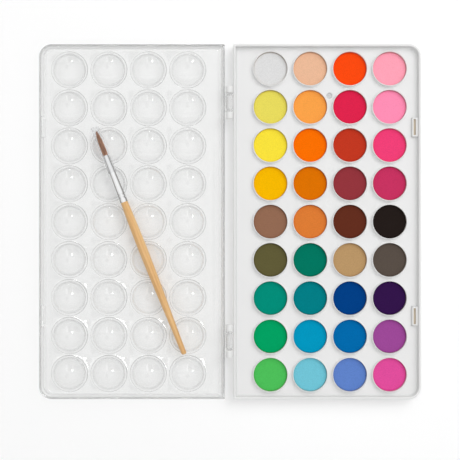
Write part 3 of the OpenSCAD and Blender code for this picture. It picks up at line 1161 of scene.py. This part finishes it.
class SkyBuilder:
    """Node maths for a studio room drawn by direction: angles from straight up, in degrees."""

    def __init__(self, tree):
        self.tree = tree
        split = split_coordinates(tree, "Generated")
        up = self.math("MAXIMUM", split["Z"], 0.02)
        degrees = 180 / math.pi
        self.x = self.math("MULTIPLY", self.math("ARCTAN2", split["X"], up), degrees)
        self.y = self.math("MULTIPLY", self.math("ARCTAN2", split["Y"], up), degrees)
        self.from_top = self.math("MULTIPLY", self.math("ARCCOSINE", split["Z"]), degrees)

    def math(self, operation, *values):
        return node_math(self.tree, operation, *values)

    def step(self, value, edge, soft):
        """0 below the edge and 1 above it, over a soft width."""
        return map_range(self.tree, value, edge - soft / 2, edge + soft / 2, 0, 1)

    def beyond(self, angle, soft):
        """Everything further than an angle from straight up."""
        return self.step(self.from_top, angle, soft)

    def between(self, value, low, high, soft):
        below = self.math("SUBTRACT", 1.0, self.step(value, high, soft))
        return self.math("MULTIPLY", self.step(value, low, soft), below)

    def panel(self, x_range, y_range, soft):
        in_x = self.between(self.x, *x_range, soft)
        in_y = self.between(self.y, *y_range, soft)
        return self.math("MULTIPLY", in_x, in_y)

    def squared(self, value, centre, radius):
        """The square of the distance from centre, as a share of the radius."""
        share = self.math("DIVIDE", self.math("SUBTRACT", value, centre), radius)
        return self.math("POWER", self.math("ABSOLUTE", share), 2.0)

    def spot(self, place, radii, soft):
        x_part = self.squared(self.x, place[0], radii[0])
        y_part = self.squared(self.y, place[1], radii[1])
        gap = self.math("SQRT", self.math("ADD", x_part, y_part))
        return self.math("SUBTRACT", 1.0, self.step(gap, 1.0, soft))

    def paint(self, under, mask, level):
        """under where mask is 0 and level where it is 1."""
        keep = self.math("MULTIPLY", under, self.math("SUBTRACT", 1.0, mask))
        return self.math("ADD", keep, self.math("MULTIPLY", mask, level))


def make_room():
    """The studio as a world: walls, windows, dark bars and lamps, painted over one another."""
    world = bpy.data.worlds.new("studio")
    world.use_nodes = True
    tree = world.node_tree
    sky = SkyBuilder(tree)
    wide = (-60, 60)
    # Each row: shape, its place and size in degrees, the width of its soft edge (for a spot a
    # share of its radius), brightness.
    rows = (
        (sky.beyond, (40,), 12, 0.85),
        (sky.panel, (wide, (-33, -10.5)), 1.2, 1.15),
        (sky.panel, (wide, (-11.4, -9.9)), 0.6, 0.45),
        (sky.panel, ((-32, 21), (24, 30)), 1.0, 1.45),
        (sky.panel, ((-32, 21), (22.6, 24)), 0.8, 0.65),
        (sky.panel, ((-15.4, -4.4), (-31, -13)), 1.2, 0.35),
        (sky.panel, ((-3.6, 0.2), (-30, -13)), 1.2, 2.2),
        (sky.spot, ((-28, -24), (9.5, 9.0)), 0.3, 0.4),
        (sky.spot, ((-1.2, -0.3), (4.5, 6.0)), 0.5, 0.15),
        (sky.panel, (wide, (-8.3, -6.7)), 0.8, 0.6),
        (sky.spot, ((25.7, -28.2), (1.5, 1.5)), 0.6, 4.0),
        (sky.spot, ((-12.8, -46.5), (1.8, 1.8)), 0.7, 14.0),
        (sky.spot, ((-15.2, -14.7), (2.0, 2.0)), 0.7, 16.0),
        (sky.beyond, (70,), 8, 0.45),
    )
    level = 1.0
    for shape, place, soft, brightness in rows:
        level = sky.paint(level, shape(*place, soft), brightness)
    strength = sky.math("MULTIPLY", level, SKY_LEVEL)
    feed(tree, tree.nodes["Background"], {"Color": (1, 1, 1, 1), "Strength": strength})
    bpy.context.scene.world = world


def make_key_light():
    """A soft lamp from the top right that shows neither in the plastic nor through it."""
    place = Vector((0.62, 0.62, 1.15))
    data = bpy.data.lights.new("key", "AREA")
    data.shape = "RECTANGLE"
    data.size = 1.0
    data.size_y = 1.0
    data.energy = KEY_WATTS
    key = in_scene(bpy.data.objects.new("key", data))
    key.location = place
    key.rotation_euler = (-place).to_track_quat("-Z", "Y").to_euler()
    key.visible_glossy = False
    key.visible_transmission = False


def make_camera():
    """Straight above the case; frame_w is the width seen at the height look_z."""
    height = 0.65
    frame_w = 311.2 * MM
    look_z = 9 * MM
    below = 5.66 * MM
    data = bpy.data.cameras.new("camera")
    data.sensor_width = 36
    data.lens = data.sensor_width * (height - look_z) / frame_w
    camera = in_scene(bpy.data.objects.new("camera", data))
    camera.location = (0, -below, height)
    bpy.context.scene.camera = camera


def set_look():
    scene = bpy.context.scene
    scene.view_settings.view_transform = "Standard"
    scene.cycles.use_denoising = True
    scene.cycles.max_bounces = 16
    scene.cycles.transmission_bounces = 12
    scene.cycles.transparent_max_bounces = 12


case_white = plastic_material(
    "case_white",
    colour=(0.84, 0.84, 0.835),
    roughness=0.36,
    grain_size=0.9 * MM,
    grain_depth=0.01 * MM,
    # Painted warm shade on the slot floor.
    painted_shade=(0.7, 0.61, 0.48),
)
tray_white = plastic_material(
    "tray_white",
    colour=(0.83, 0.83, 0.828),
    roughness=0.45,
    grain_size=0.35 * MM,
    grain_depth=0.012 * MM,
    # Painted grey shade on the floor of the deep moulding mark.
    painted_shade=(0.62, 0.62, 0.62),
)
lid_clear = clear_material(
    "lid_clear",
    tint=(0.94, 0.942, 0.94),
    ior=1.59,
    shadow_tint=(0.958, 0.96, 0.958),
    roughness=(0.03, 0.2),
    milkiness=(0.1, 0.83),
    # Painted shade on the wells' rings.
    edge=0.88,
)
sleeve_clear = clear_material(
    "sleeve_clear",
    tint=(0.975, 0.978, 0.98),
    ior=1.15,
    shadow_tint=(0.965, 0.967, 0.97),
    roughness=(0.04, 0.05),
    # Painted shade on the sleeve's gentle slopes.
    milkiness=(0.02, 0.07),
    edge=0.95,
)

make_camera()
make_base(case_white)
make_tray(tray_white)
make_cups(cup_material())
make_paints()
make_lid(lid_clear)
make_brush(sleeve_clear)
make_stage()
make_room()
make_key_light()
set_look()
